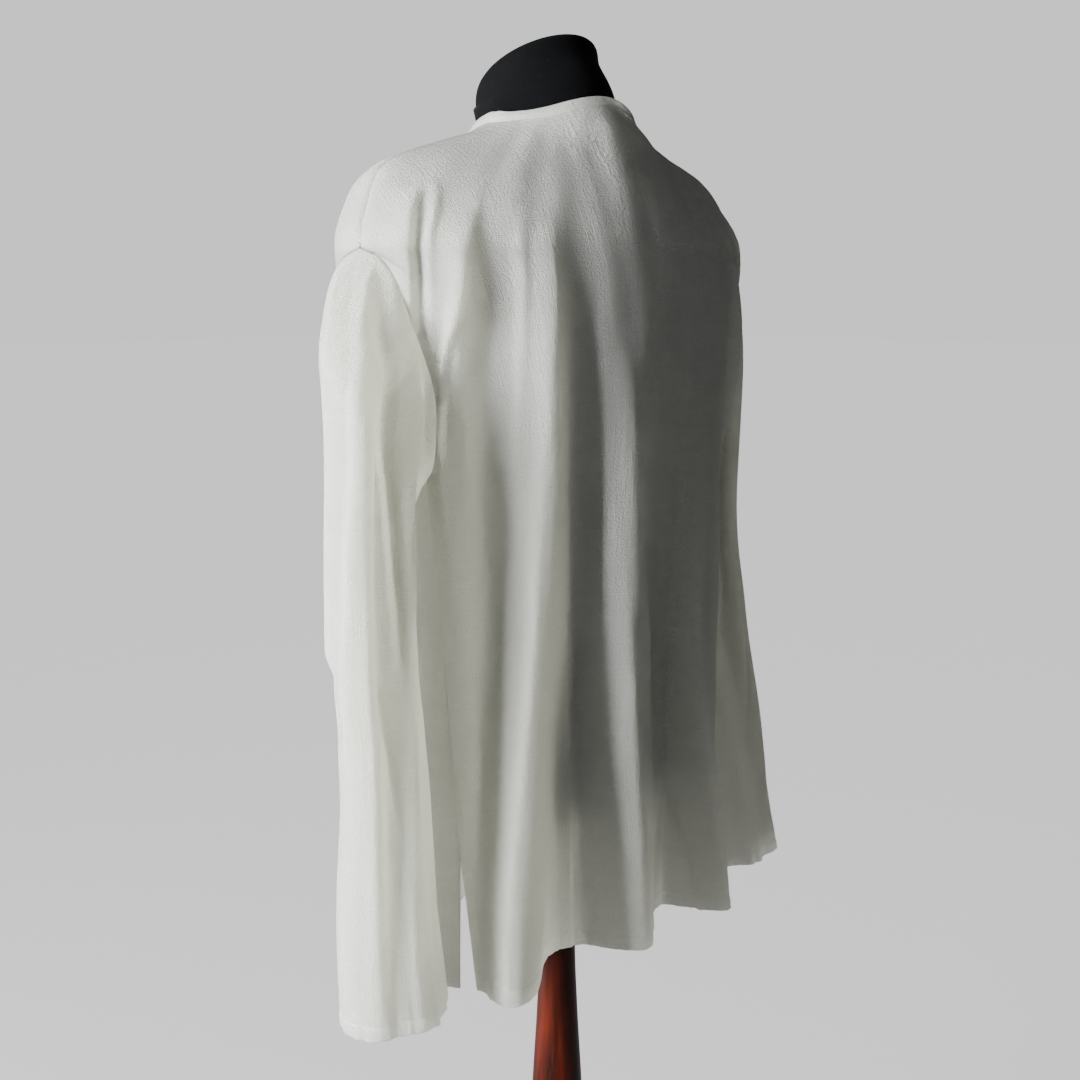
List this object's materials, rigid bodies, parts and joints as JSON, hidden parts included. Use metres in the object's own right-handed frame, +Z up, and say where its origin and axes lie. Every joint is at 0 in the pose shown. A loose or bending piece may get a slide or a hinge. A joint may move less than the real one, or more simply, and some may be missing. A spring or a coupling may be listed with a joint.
{
  "type": "medieval tunic on a limbless dress form",
  "caption": "Loose white pull-on tunic with long straight sleeves and side slits, worn by a black limbless dress form on a turned wooden stand",
  "frame": {"origin": "on the floor, at the centre of the base's underside, on the column's axis", "axes": "+Z up, -Y towards the wearer's front, +Y towards the back, +X towards the wearer's left"},
  "size_m": [0.63, 0.372, 1.5333],
  "materials": {
    "tunic_cloth": "matte slubbed plain weave, white",
    "form_black": "matte black stretch cover",
    "stand_wood": "polished red-brown stain"
  },
  "bodies": {
    "root": {"back": "tunic_cloth", "front": "tunic_cloth", "sleeve_left": "tunic_cloth", "sleeve_right": "tunic_cloth", "neck_binding": "tunic_cloth", "form_torso": "form_black", "column": "stand_wood", "base": "stand_wood"}
  },
  "joints": []
}
